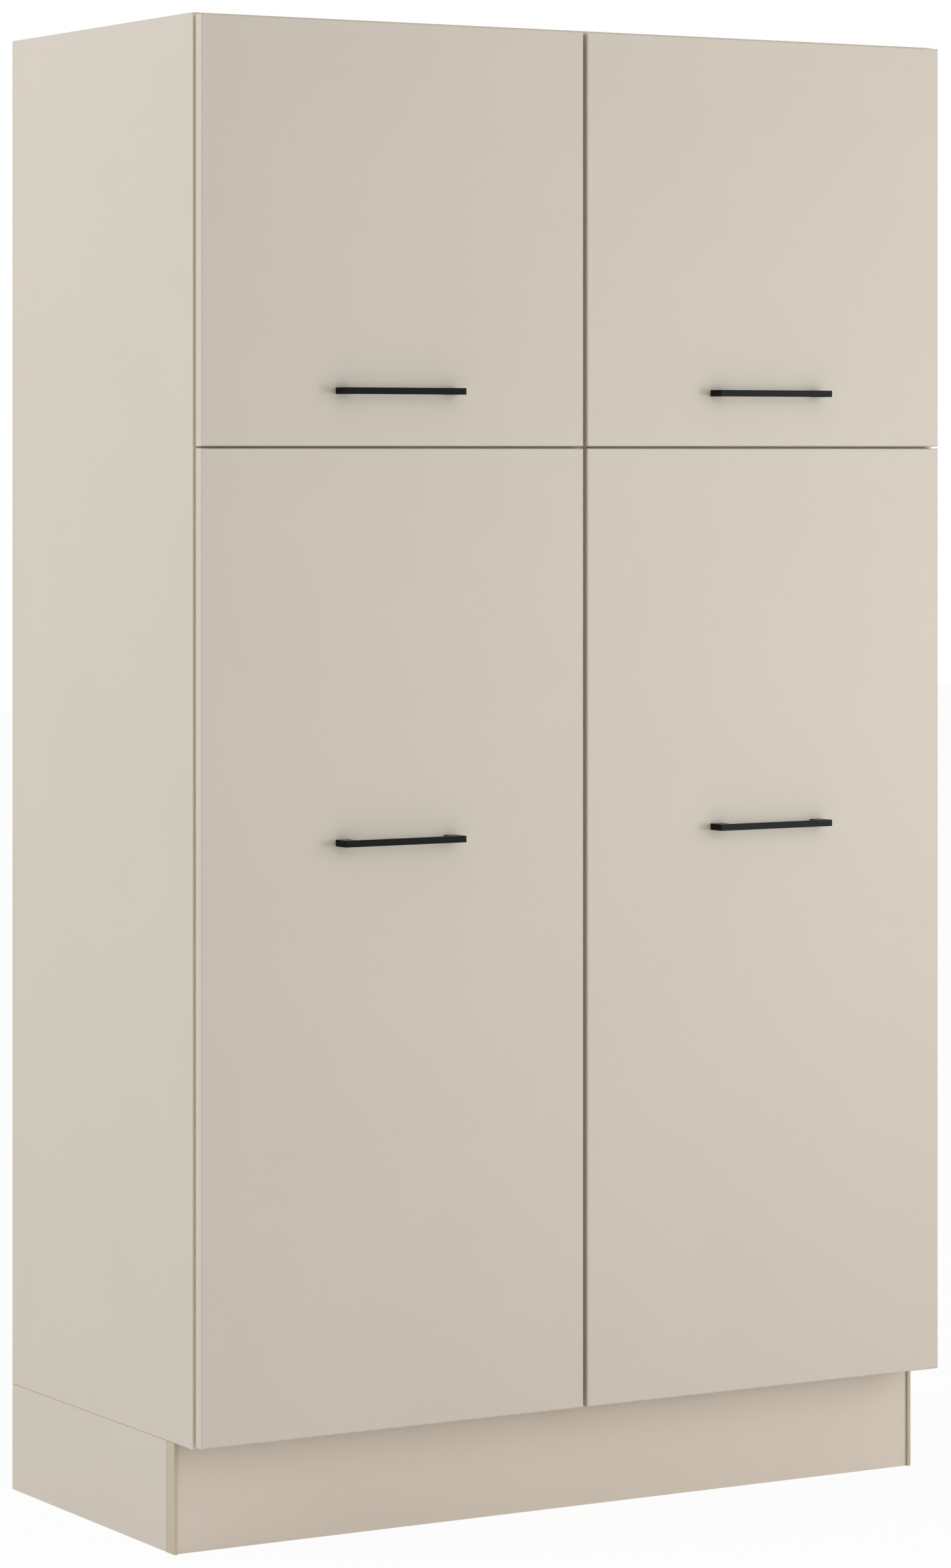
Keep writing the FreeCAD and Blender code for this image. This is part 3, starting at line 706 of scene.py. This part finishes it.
class CABINET_OT_doors(bpy.types.Operator):
    """Model the slab doors, bored for their hinge cups, and their soft buffers"""

    bl_idname = "cabinet.doors"
    bl_label = "Doors"

    def execute(self, context):
        for door in DOORS:
            self.door(door)
        self.buffers()
        return {"FINISHED"}

    def door(self, door):
        """A door with its front and rear rims rounded."""
        node = door + "_door"
        low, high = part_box(node)
        bm = bmesh.new()
        add_block(bm, low, high)
        rims = [edge for edge in bm.edges if not runs_along(edge, 1)]
        round_edges(bm, rims, sizes().door_edge, EDGE_SEGMENTS)
        piece = add_piece(door + "_slab_door", bm, door + "_leaf",
                          ("laminate", "chipboard"), SHARP_BOARD, node)
        cup_low, cup_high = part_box(door + "_hinge_cups")
        radius = (cup_high.x - cup_low.x) / 2
        cutter = bmesh.new()
        for level in hinge_levels(door):
            add_bore(cutter, Vector((cup_low.x + radius, high.y, level)), (0, 1, 0), radius + BORE_PLAY,
                     high.y - cup_low.y + BORE_PLAY, BORE_SEGMENTS)
        cut_away(piece, cutter)

    def buffers(self):
        """Soft drops on the inner sides' front edges, near the free corners of each door."""
        low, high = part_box("door_buffers")
        bm = bmesh.new()
        for door in DOORS:
            x = low.x + BUFFER_RADIUS if inward(door) > 0 else high.x - BUFFER_RADIUS
            door_low, door_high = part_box(door + "_door")
            for z in (door_low.z + BUFFER_FROM_END, door_high.z - BUFFER_FROM_END):
                add_dome(bm, Vector((x, high.y, z)), (0, -1, 0), BUFFER_RADIUS, high.y - low.y)
        add_piece("door_buffer_drops", bm, CARCASS, ("pad",), SHARP_DROP, "door_buffers")


BAR_HARD_ANGLE = math.radians(40)
BEND_SEGMENTS = 8
HANDLE_SCREW_HEAD = 4.5 * MM
HANDLE_SCREW_RISE = 2.2 * MM


class CABINET_OT_handles(bpy.types.Operator):
    """Model the bow handles and the screws that hold them"""

    bl_idname = "cabinet.handles"
    bl_label = "Handles"

    def execute(self, context):
        for door in DOORS:
            self.handle(door)
            self.screws(door)
        return {"FINISHED"}

    def handle(self, door):
        """A flat bar on two feet, drawn as one outline and rounded."""
        node = door + "_handle"
        low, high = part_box(node)
        size = sizes()
        bar_y = low.y + size.handle_bar
        left, right = low.x + size.handle_foot, high.x - size.handle_foot
        outline = [(low.x, high.y), (low.x, low.y), (high.x, low.y), (high.x, high.y),
                   (right, high.y), (right, bar_y), (left, bar_y), (left, high.y)]
        bm = bmesh.new()
        add_prism(bm, [(x, y, low.z) for x, y in outline], (0, 0, high.z - low.z))
        bends = [edge for edge in bm.edges if runs_along(edge, 2)
                 and all(abs(vert.co.y - bar_y) < NEAR for vert in edge.verts)]
        round_edges(bm, bends, size.handle_bend, BEND_SEGMENTS)
        bmesh.ops.recalc_face_normals(bm, faces=bm.faces)
        # The feet stay square where they meet the door
        hard = [edge for edge in bm.edges if edge.calc_face_angle() > BAR_HARD_ANGLE
                and min(vert.co.y for vert in edge.verts) < high.y - NEAR]
        round_edges(bm, hard, size.handle_edge, FINE_EDGE_SEGMENTS)
        add_piece(door + "_bow_handle", bm, door + "_leaf", ("black",), SHARP_HANDLE, node)

    def screws(self, door):
        """Two screw heads on the door's inner face."""
        low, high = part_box(door + "_handle")
        _, door_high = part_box(door + "_door")
        middle = (low + high) / 2
        bm = bmesh.new()
        for way in (-1, 1):
            place = Vector((middle.x + way * sizes().handle_spacing / 2, door_high.y, middle.z))
            add_screw(bm, place, (0, 1, 0), HANDLE_SCREW_HEAD, HANDLE_SCREW_RISE)
        add_piece(door + "_handle_screws", bm, door + "_leaf", ("zinc",), SHARP_TURNED)


SCREW_RISE = 1.4 * MM
CUP_LIP = 1 * MM
CUP_LIP_RISE = 0.8 * MM
CUP_SCREW_OFFSET = 6 * MM
CUP_SCREW_SPACING = 48 * MM
PLATE_BASE = 2.5 * MM
PLATE_SCREW_LINE = 37 * MM
PLATE_SCREW_SPACING = 32 * MM
ARM_SCREW_DEPTHS = (26 * MM, 52 * MM)


class CABINET_OT_hinges(bpy.types.Operator):
    """Model the hinges' pressed cups, arms and plates, and their screws"""

    bl_idname = "cabinet.hinges"
    bl_label = "Hinges"

    def execute(self, context):
        for column in COLUMNS:
            for part in ("_hinge_arms", "_hinge_plates"):
                bm = eased_copy(column + part, sizes().fitting_edge)
                stand_rounded(column + part, bm, CARCASS, "nickel")
            fixed = bmesh.new()
            for row in ROWS:
                door = f"{column}_{row}"
                dress(door + "_hinge_pins", "nickel")
                self.cups(door)
                self.cup_screws(door)
                for level in hinge_levels(door):
                    self.plate_screws(fixed, column, level)
            add_piece(column + "_hinge_plate_screws", fixed, CARCASS, ("nickel",),
                      SHARP_TURNED)
        return {"FINISHED"}

    def cups(self, door):
        """A door's cups, each with a raised lip round its bore."""
        node = door + "_hinge_cups"
        low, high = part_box(node)
        _, door_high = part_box(door + "_door")
        bm = eased_copy(node, sizes().cup_edge)
        radius = (high.x - low.x) / 2
        for level in hinge_levels(door):
            add_lip(bm, Vector((low.x + radius, door_high.y, level)), (0, 1, 0),
                    radius + CUP_LIP, radius - CUP_LIP, CUP_LIP_RISE)
        stand_rounded(node, bm, door + "_leaf", "nickel")

    def cup_screws(self, door):
        """Two screws through each cup's flange."""
        low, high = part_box(door + "_hinge_cups")
        x = (low.x + high.x) / 2 + inward(door) * CUP_SCREW_OFFSET
        bm = bmesh.new()
        for level in hinge_levels(door):
            for way in (-1, 1):
                place = Vector((x, high.y, level + way * CUP_SCREW_SPACING / 2))
                add_screw(bm, place, (0, 1, 0), sizes().screw_head, SCREW_RISE)
        add_piece(door + "_cup_screws", bm, door + "_leaf", ("nickel",), SHARP_TURNED)

    def plate_screws(self, bm, column, level):
        """Two screws in a plate's wings and two on its arm."""
        way = inward(column)
        base = end_towards(column + "_outer_side", way) + way * PLATE_BASE
        arm_top = end_towards(column + "_hinge_arms", way)
        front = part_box(column + "_outer_side")[0].y
        places = [(base, PLATE_SCREW_LINE, level + up * PLATE_SCREW_SPACING / 2) for up in (-1, 1)]
        places += [(arm_top, depth, level) for depth in ARM_SCREW_DEPTHS]
        for x, depth, z in places:
            add_screw(bm, Vector((x, front + depth, z)), (way, 0, 0), sizes().screw_head, SCREW_RISE)


CAM_FROM_END = 34 * MM
CAM_FROM_FRONT = 60 * MM
CAM_FROM_BACK = 70 * MM
CAM_COVER_RISE = 1.2 * MM
BRACKET_HALF_WIDTH = 12 * MM
BRACKET_SCREW = 12 * MM
BRACKET_SHEET = 2 * MM
BOLT_DRIVE_RADIUS = 5.5 * MM
BOLT_DRIVE_RISE = 0.8 * MM


class CABINET_OT_fittings(bpy.types.Operator):
    """Model the shelf supports, brackets, bolts, cam covers and screws"""

    bl_idname = "cabinet.fittings"
    bl_label = "Fittings"

    def execute(self, context):
        for node in ("left_shelf_supports", "right_shelf_supports", "wall_brackets", "connecting_bolts"):
            stand_rounded(node, eased_copy(node, sizes().fitting_edge), CARCASS, "zinc")
        self.cam_covers()
        self.small_screws()
        return {"FINISHED"}

    def cam_covers(self):
        """Covers over the cam fittings under each cross board's corners."""
        bm = bmesh.new()
        for column in COLUMNS:
            for board in ("top_board", "fixed_shelf", "bottom_board"):
                low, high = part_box(f"{column}_{board}")
                for x in (low.x + CAM_FROM_END, high.x - CAM_FROM_END):
                    for y in (low.y + CAM_FROM_FRONT, high.y - CAM_FROM_BACK):
                        add_cover(bm, Vector((x, y, low.z)), (0, 0, -1), sizes().cam_cover, CAM_COVER_RISE)
        add_piece("cam_covers", bm, CARCASS, ("cover",), SHARP_COVER)

    def small_screws(self):
        """A screw up through each wall bracket, and the drives at both ends of the connecting bolts."""
        bm = bmesh.new()
        low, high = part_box("wall_brackets")
        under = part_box("left_top_board")[0].z - BRACKET_SHEET
        for x in (low.x + BRACKET_HALF_WIDTH, high.x - BRACKET_HALF_WIDTH):
            place = Vector((x, low.y + BRACKET_SCREW, under))
            add_screw(bm, place, (0, 0, -1), sizes().screw_head, SCREW_RISE)
        low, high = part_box("connecting_bolts")
        half = (high.y - low.y) / 2
        for z in (low.z + half, high.z - half):
            for x, way in ((low.x, -1), (high.x, 1)):
                add_screw(bm, Vector((x, low.y + half, z)), (way, 0, 0), BOLT_DRIVE_RADIUS, BOLT_DRIVE_RISE)
        add_piece("bracket_and_bolt_screws", bm, CARCASS, ("zinc",), SHARP_TURNED)


CAP_WALL = 2 * MM
CAP_PLAY = 0.2 * MM


class CABINET_OT_plinth(bpy.types.Operator):
    """Model the plinth's front and side boards and its end caps"""

    bl_idname = "cabinet.plinth"
    bl_label = "Plinth"

    def execute(self, context):
        # The fascia's beige is painted paler and warmer with painted bounce light
        self.board("plinth_fascia", "plinth_front_board", "plinth")
        for column in COLUMNS:
            self.board(column + "_plinth_return", column + "_plinth_side_board", "laminate")
            self.end_cap(column)
        return {"FINISHED"}

    def top(self):
        """Height of the plinth, below the open joint."""
        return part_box("left_outer_side")[0].z - sizes().plinth_seam

    def board(self, node, name, key):
        """A plinth board with its long edges rounded and its sawn edges bare."""
        low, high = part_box(node)
        bm = bmesh.new()
        add_block(bm, low, (high.x, high.y, self.top()))
        long_way = 0 if high.x - low.x > high.y - low.y else 1
        long_edges = [edge for edge in bm.edges if runs_along(edge, long_way)]
        round_edges(bm, long_edges, sizes().plinth_edge / 2, FINE_EDGE_SEGMENTS)
        bm.normal_update()
        for face in bm.faces:
            sawn = abs(face.normal.z) > FACING or abs(face.normal[long_way]) > FACING
            face.material_index = BARE if sawn else FACED
        add_piece(name, bm, CARCASS, (key, "chipboard"), SHARP_BOARD, node)

    def end_cap(self, column):
        """A plastic channel over the end of the plinth's front board."""
        node = column + "_plinth_end_cap"
        low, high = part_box(node)
        front_low, front_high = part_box("plinth_fascia")
        way = inward(column)
        outside, inside = end_towards(node, -way), end_towards(node, way)
        wall = outside + way * CAP_WALL
        slot_front, slot_back = front_low.y - CAP_PLAY, front_high.y + CAP_PLAY
        outline = [(outside, low.y), (inside, low.y), (inside, slot_front), (wall, slot_front),
                   (wall, slot_back), (inside, slot_back), (inside, high.y), (outside, high.y)]
        bm = bmesh.new()
        add_prism(bm, [(x, y, low.z) for x, y in outline], (0, 0, self.top() - low.z))
        corners = [edge for edge in bm.edges if runs_along(edge, 2)
                   and any(abs(edge.verts[0].co.y - y) < NEAR for y in (low.y, high.y))]
        round_edges(bm, corners, sizes().plinth_edge, EDGE_SEGMENTS)
        add_piece(column + "_plinth_cap", bm, CARCASS, ("cap",), SHARP_BOARD, node)


FOOT_CHAMFER = 1 * MM
THREAD_PITCH = 3 * MM
THREAD_DEPTH = 1.2 * MM
THREAD_TURNS = 14
POST_CHAMFER = 1 * MM
FLANGE = 4 * MM
FLANGE_CORNER = 9 * MM
FLANGE_CORNER_SEGMENTS = 6
COLLAR_WALL = 3.2 * MM
COLLAR_FILLET = 1 * MM
# A collar's steps down from the flange: a share of its length, and how far past its wall
COLLAR_STEPS = ((0.75, 0.0), (0.05, 0.6 * MM), (0.15, 0.6 * MM), (0.05, -0.4 * MM))
RIBS = 4
RIB_THICKNESS = 2.4 * MM
RIB_SINK = 0.2 * MM
RIB_ROOT = 1 * MM
RIB_FROM_EDGE = 4 * MM
RIB_TIP = 1.5 * MM
RIB_REACH = 0.7
SOCKET_SCREW = 26 * MM


class CABINET_OT_legs(bpy.types.Operator):
    """Model the levelling legs and their clips"""

    bl_idname = "cabinet.legs"
    bl_label = "Legs"

    def execute(self, context):
        clips = eased_copy("plinth_clips", sizes().fitting_edge)
        stand_rounded("plinth_clips", clips, CARCASS, "leg")
        makers = (("leg_feet", "_round", self.foot), ("leg_posts", "_threaded", self.post),
                  ("leg_sockets", "_ribbed", self.socket))
        for node, ending, make in makers:
            bm = bmesh.new()
            for place in self.places():
                make(bm, place)
            add_piece(node + ending, bm, CARCASS, ("leg",), SHARP_TURNED, node)
        self.screws()
        return {"FINISHED"}

    def places(self):
        """Where the legs stand: four under each column."""
        low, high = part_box("leg_feet")
        foot = sizes().leg_foot
        outer = low.x + foot
        from_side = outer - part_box("left_outer_side")[0].x
        return [Vector((way * x, y, low.z)) for way in (-1, 1) for x in (outer, -from_side)
                for y in (low.y + foot, high.y - foot)]

    def foot(self, bm, place):
        """A round foot that narrows to its post."""
        radius = sizes().leg_foot
        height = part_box("leg_feet")[1].z
        add_turned(bm, place, (0, 0, 1), radius - FOOT_CHAMFER, (
            (FOOT_CHAMFER, radius), (0.65 * height - FOOT_CHAMFER, radius), (0.15 * height, radius - FOOT_CHAMFER),
            (0.1 * height, 0.7 * radius), (0.1 * height, 0.6 * radius)))

    def post(self, bm, place):
        """A post with the turns of its thread below a plain top."""
        radius = sizes().leg_post
        root = radius - THREAD_DEPTH
        bottom, top = (corner.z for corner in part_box("leg_posts"))
        thread = ((THREAD_PITCH / 2, radius), (THREAD_PITCH / 2, root)) * THREAD_TURNS
        plain = top - bottom - THREAD_TURNS * THREAD_PITCH
        add_turned(bm, place + Vector((0, 0, bottom)), (0, 0, 1), root,
                   (*thread, (POST_CHAMFER, radius), (plain - POST_CHAMFER, radius)))

    def socket(self, bm, place):
        """A flange under the carcass with a ribbed collar for the post."""
        low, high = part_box("leg_sockets")
        half = high.x - max(spot.x for spot in self.places())
        seat = Vector((place.x, place.y, high.z - FLANGE))
        verts = add_block(bm, (place.x - half, place.y - half, seat.z),
                          (place.x + half, place.y + half, high.z))
        edges = dict.fromkeys(edge for vert in verts for edge in vert.link_edges)
        corners = [edge for edge in edges if runs_along(edge, 2)]
        round_edges(bm, corners, FLANGE_CORNER, FLANGE_CORNER_SEGMENTS)
        collar = sizes().leg_post + COLLAR_WALL
        drop = seat.z - low.z
        add_turned(bm, seat, (0, 0, -1), collar + COLLAR_FILLET,
                   [(share * drop, collar + past) for share, past in COLLAR_STEPS])
        for turn in range(RIBS):
            self.rib(bm, seat, turn * math.tau / RIBS, collar - RIB_ROOT, half - RIB_FROM_EDGE, drop)

    def rib(self, bm, seat, angle, near, far, drop):
        """A web from the collar out under the flange."""
        side = -RIB_THICKNESS / 2
        outline = [(near, side, RIB_SINK), (far, side, RIB_SINK), (far, side, -RIB_TIP),
                   (near, side, -RIB_REACH * drop)]
        verts = add_prism(bm, outline, (0, RIB_THICKNESS, 0))
        turn = Matrix.Translation(seat) @ Matrix.Rotation(angle, 4, "Z")
        bmesh.ops.transform(bm, matrix=turn, verts=verts)

    def screws(self):
        """Four screws up through each flange."""
        bm = bmesh.new()
        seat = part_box("leg_sockets")[1].z - FLANGE
        for place in self.places():
            for x in (place.x - SOCKET_SCREW, place.x + SOCKET_SCREW):
                for y in (place.y - SOCKET_SCREW, place.y + SOCKET_SCREW):
                    add_screw(bm, Vector((x, y, seat)), (0, 0, -1), sizes().screw_head, SCREW_RISE)
        add_piece("leg_socket_screws", bm, CARCASS, ("zinc",), SHARP_TURNED)


# Studio

# The photograph is a level view from the left, with the frame slid down to take in the plinth
CAMERA_PLACE = Vector((-3.709, -6.316, 1.4745))
CAMERA_AHEAD = Vector((0.50491, 0.86319, 0.0))
CAMERA_LENS = 117.63
CAMERA_SENSOR = 36.0
CAMERA_SHIFT = -0.2119
CAMERA_REACH = 100.0

FLOOR_SIZE = 40.0
FLOOR_PAINT = "#e6e5e3"
# Where it is seen, the floor is this much plain white, and the rest of it keeps the shadow
FLOOR_WHITE = 0.95
WHITE = (1.0, 1.0, 1.0, 1.0)
WORLD_STRENGTH = 0.56
# Name, place, aim, side in metres, watts and tint
LAMPS = (
    ("high_front_softbox", (2.4, -6.5, 4.2), (0.0, -0.2, 1.0), 3.0, 36.0, "#ffffff"),
    ("right_front_softbox", (3.3, -3.0, 1.7), (0.5, -0.2, 1.2), 2.4, 28.0, "#ffffff"),
    ("low_front_softbox", (3.2, -4.4, 0.9), (0.4, -0.2, 0.3), 1.6, 50.0, "#ffffff"),
    ("left_high_softbox", (-6.0, 1.5, 4.0), (-0.6, 0.0, 1.4), 3.0, 184.0, "#fafbff"),
)


class CABINET_OT_stage(bpy.types.Operator):
    """Set up the floor, the soft light and the photograph's camera"""

    bl_idname = "cabinet.stage"
    bl_label = "Studio"

    def execute(self, context):
        scene = context.scene
        scene.view_settings.view_transform = "Standard"
        self.floor(scene)
        self.world(scene)
        self.lamps(scene)
        self.camera(scene)
        return {"FINISHED"}

    def seen_directly(self, tree):
        """One where the camera, a reflection or a see-through surface looks at the backdrop."""
        path = add_node(tree, "LightPath")
        either = add_node(tree, "Math", {
            0: path.outputs["Is Camera Ray"], 1: path.outputs["Is Glossy Ray"]}, operation="MAXIMUM")
        return add_node(tree, "Math", {
            0: either.outputs["Value"], 1: path.outputs["Is Transmission Ray"]}, operation="MAXIMUM")

    def floor(self, scene):
        """A pale floor that looks white and keeps a soft shadow."""
        bm = bmesh.new()
        bmesh.ops.create_grid(bm, x_segments=1, y_segments=1, size=FLOOR_SIZE / 2)
        mesh = bpy.data.meshes.new("studio_floor")
        bm.to_mesh(mesh)
        bm.free()
        made = bpy.data.materials.new("studio_floor_white")
        made.use_nodes = True
        tree = made.node_tree
        tree.nodes.remove(tree.nodes["Principled BSDF"])
        paint = add_node(tree, "BsdfDiffuse", {"Color": (*linear_rgb(FLOOR_PAINT), 1.0)})
        glow = add_node(tree, "Emission", {"Strength": 1.0})
        share = add_node(tree, "Math", {
            0: self.seen_directly(tree).outputs["Value"], 1: FLOOR_WHITE}, operation="MULTIPLY")
        mix = add_node(tree, "MixShader", {
            0: share.outputs["Value"], 1: paint.outputs["BSDF"], 2: glow.outputs["Emission"]})
        tree.links.new(mix.outputs["Shader"], tree.nodes["Material Output"].inputs["Surface"])
        mesh.materials.append(made)
        floor = bpy.data.objects.new("studio_floor", mesh)
        scene.collection.objects.link(floor)

    def world(self, scene):
        """Even light from all round, white where it is seen."""
        made = bpy.data.worlds.new("studio_world")
        made.use_nodes = True
        tree = made.node_tree
        ambient = tree.nodes["Background"]
        fill_inputs(tree, ambient, {"Color": WHITE, "Strength": WORLD_STRENGTH})
        white = add_node(tree, "Background", {"Color": WHITE, "Strength": 1.0})
        mix = add_node(tree, "MixShader", {
            0: self.seen_directly(tree).outputs["Value"], 1: ambient.outputs["Background"],
            2: white.outputs["Background"]})
        tree.links.new(mix.outputs["Shader"], tree.nodes["World Output"].inputs["Surface"])
        scene.world = made

    def lamps(self, scene):
        """Square softboxes, each turned to its aim."""
        for name, place, aim, side, power, code in LAMPS:
            data = bpy.data.lights.new(name, "AREA")
            data.shape = "SQUARE"
            data.size = side
            data.energy = power
            data.color = linear_rgb(code)
            lamp = bpy.data.objects.new(name, data)
            lamp.location = place
            lamp.rotation_euler = (Vector(aim) - Vector(place)).to_track_quat("-Z", "Y").to_euler()
            scene.collection.objects.link(lamp)

    def camera(self, scene):
        """The photograph's viewpoint."""
        data = bpy.data.cameras.new("photograph_camera")
        data.lens = CAMERA_LENS
        data.sensor_width = CAMERA_SENSOR
        data.shift_y = CAMERA_SHIFT
        data.clip_end = CAMERA_REACH
        camera = bpy.data.objects.new("photograph_camera", data)
        camera.location = CAMERA_PLACE
        camera.rotation_euler = CAMERA_AHEAD.to_track_quat("-Z", "Y").to_euler()
        scene.collection.objects.link(camera)
        scene.camera = camera


OPERATORS = (
    CABINET_OT_stage, CABINET_OT_boards, CABINET_OT_sides, CABINET_OT_doors, CABINET_OT_handles,
    CABINET_OT_hinges, CABINET_OT_fittings, CABINET_OT_plinth, CABINET_OT_legs,
)


class CABINET_PT_panel(bpy.types.Panel):
    """Sizes, colours and steps of the cabinet"""

    bl_idname = "CABINET_PT_panel"
    bl_label = "Utility Cabinet"
    bl_space_type = "VIEW_3D"
    bl_region_type = "UI"
    bl_category = "Cabinet"

    def draw(self, context):
        for group in (context.scene.cabinet_sizes, context.scene.cabinet_colours):
            for name in group.__annotations__:
                self.layout.prop(group, name)
        for operator in OPERATORS:
            self.layout.operator(operator.bl_idname)


CLASSES = (CabinetSizes, CabinetColours, *OPERATORS, CABINET_PT_panel)


def register():
    for cls in CLASSES:
        bpy.utils.register_class(cls)
    bpy.types.Scene.cabinet_sizes = bpy.props.PointerProperty(type=CabinetSizes)
    bpy.types.Scene.cabinet_colours = bpy.props.PointerProperty(type=CabinetColours)


def unregister():
    del bpy.types.Scene.cabinet_colours
    del bpy.types.Scene.cabinet_sizes
    for cls in reversed(CLASSES):
        bpy.utils.unregister_class(cls)


def main():
    register()
    bpy.ops.cabinet.stage()
    bpy.ops.cabinet.boards()
    bpy.ops.cabinet.sides()
    bpy.ops.cabinet.doors()
    bpy.ops.cabinet.handles()
    bpy.ops.cabinet.hinges()
    bpy.ops.cabinet.fittings()
    bpy.ops.cabinet.plinth()
    bpy.ops.cabinet.legs()


if __name__ == "__main__":
    main()
